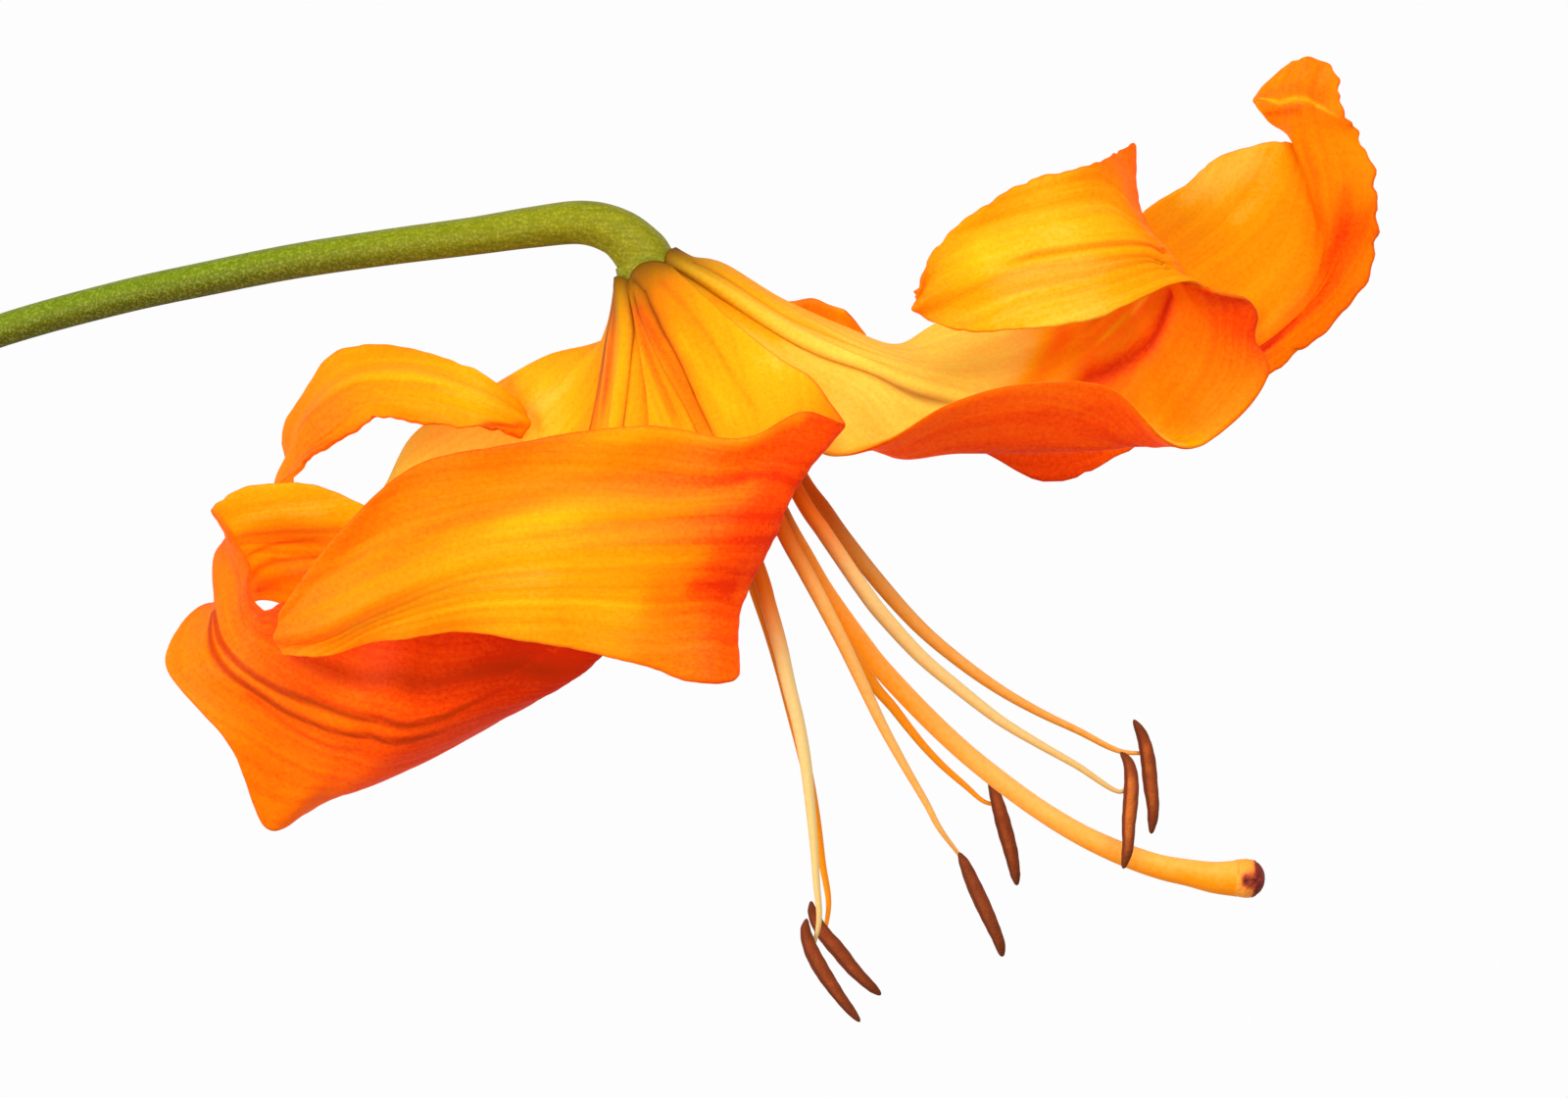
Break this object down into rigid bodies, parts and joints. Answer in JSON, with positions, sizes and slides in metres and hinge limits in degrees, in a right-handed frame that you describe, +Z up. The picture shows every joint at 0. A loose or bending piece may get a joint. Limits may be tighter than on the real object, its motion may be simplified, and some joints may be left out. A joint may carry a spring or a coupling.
{
  "type": "tiger lily cut flower",
  "caption": "Single cut lily lying on a surface: a bent stem, six recurved orange petals, six stamens with brown anthers, and a long pistil.",
  "frame": {"origin": "middle of the bounding box, on the surface that the flower lies on", "axes": "+X along the flower, from the cut end of the stem to the far petal; +Y across it, away from the hanging stamens; +Z up from the surface"},
  "size_m": [0.1697, 0.109, 0.0768],
  "materials": {
    "petal": "soft satin, slightly translucent",
    "stem": "smooth, matt",
    "filament": "smooth, satin",
    "anther": "granular, matt",
    "stigma": "velvety, matt"
  },
  "bodies": {
    "root": {"pedicel": "stem", "petal_outer_front": "petal", "petal_inner_left": "petal", "petal_outer_left": "petal", "petal_inner_back": "petal", "petal_inner_right": "petal", "petal_outer_right": "petal", "filament_right_back": "filament", "filament_right_front": "filament", "filament_front": "filament", "filament_left_front": "filament", "filament_left_back": "filament", "filament_back": "filament", "anther_right_back": "anther", "anther_right_front": "anther", "anther_front": "anther", "anther_left_front": "anther", "anther_left_back": "anther", "anther_back": "anther", "pistil": "filament", "stigma": "stigma"}
  },
  "joints": []
}
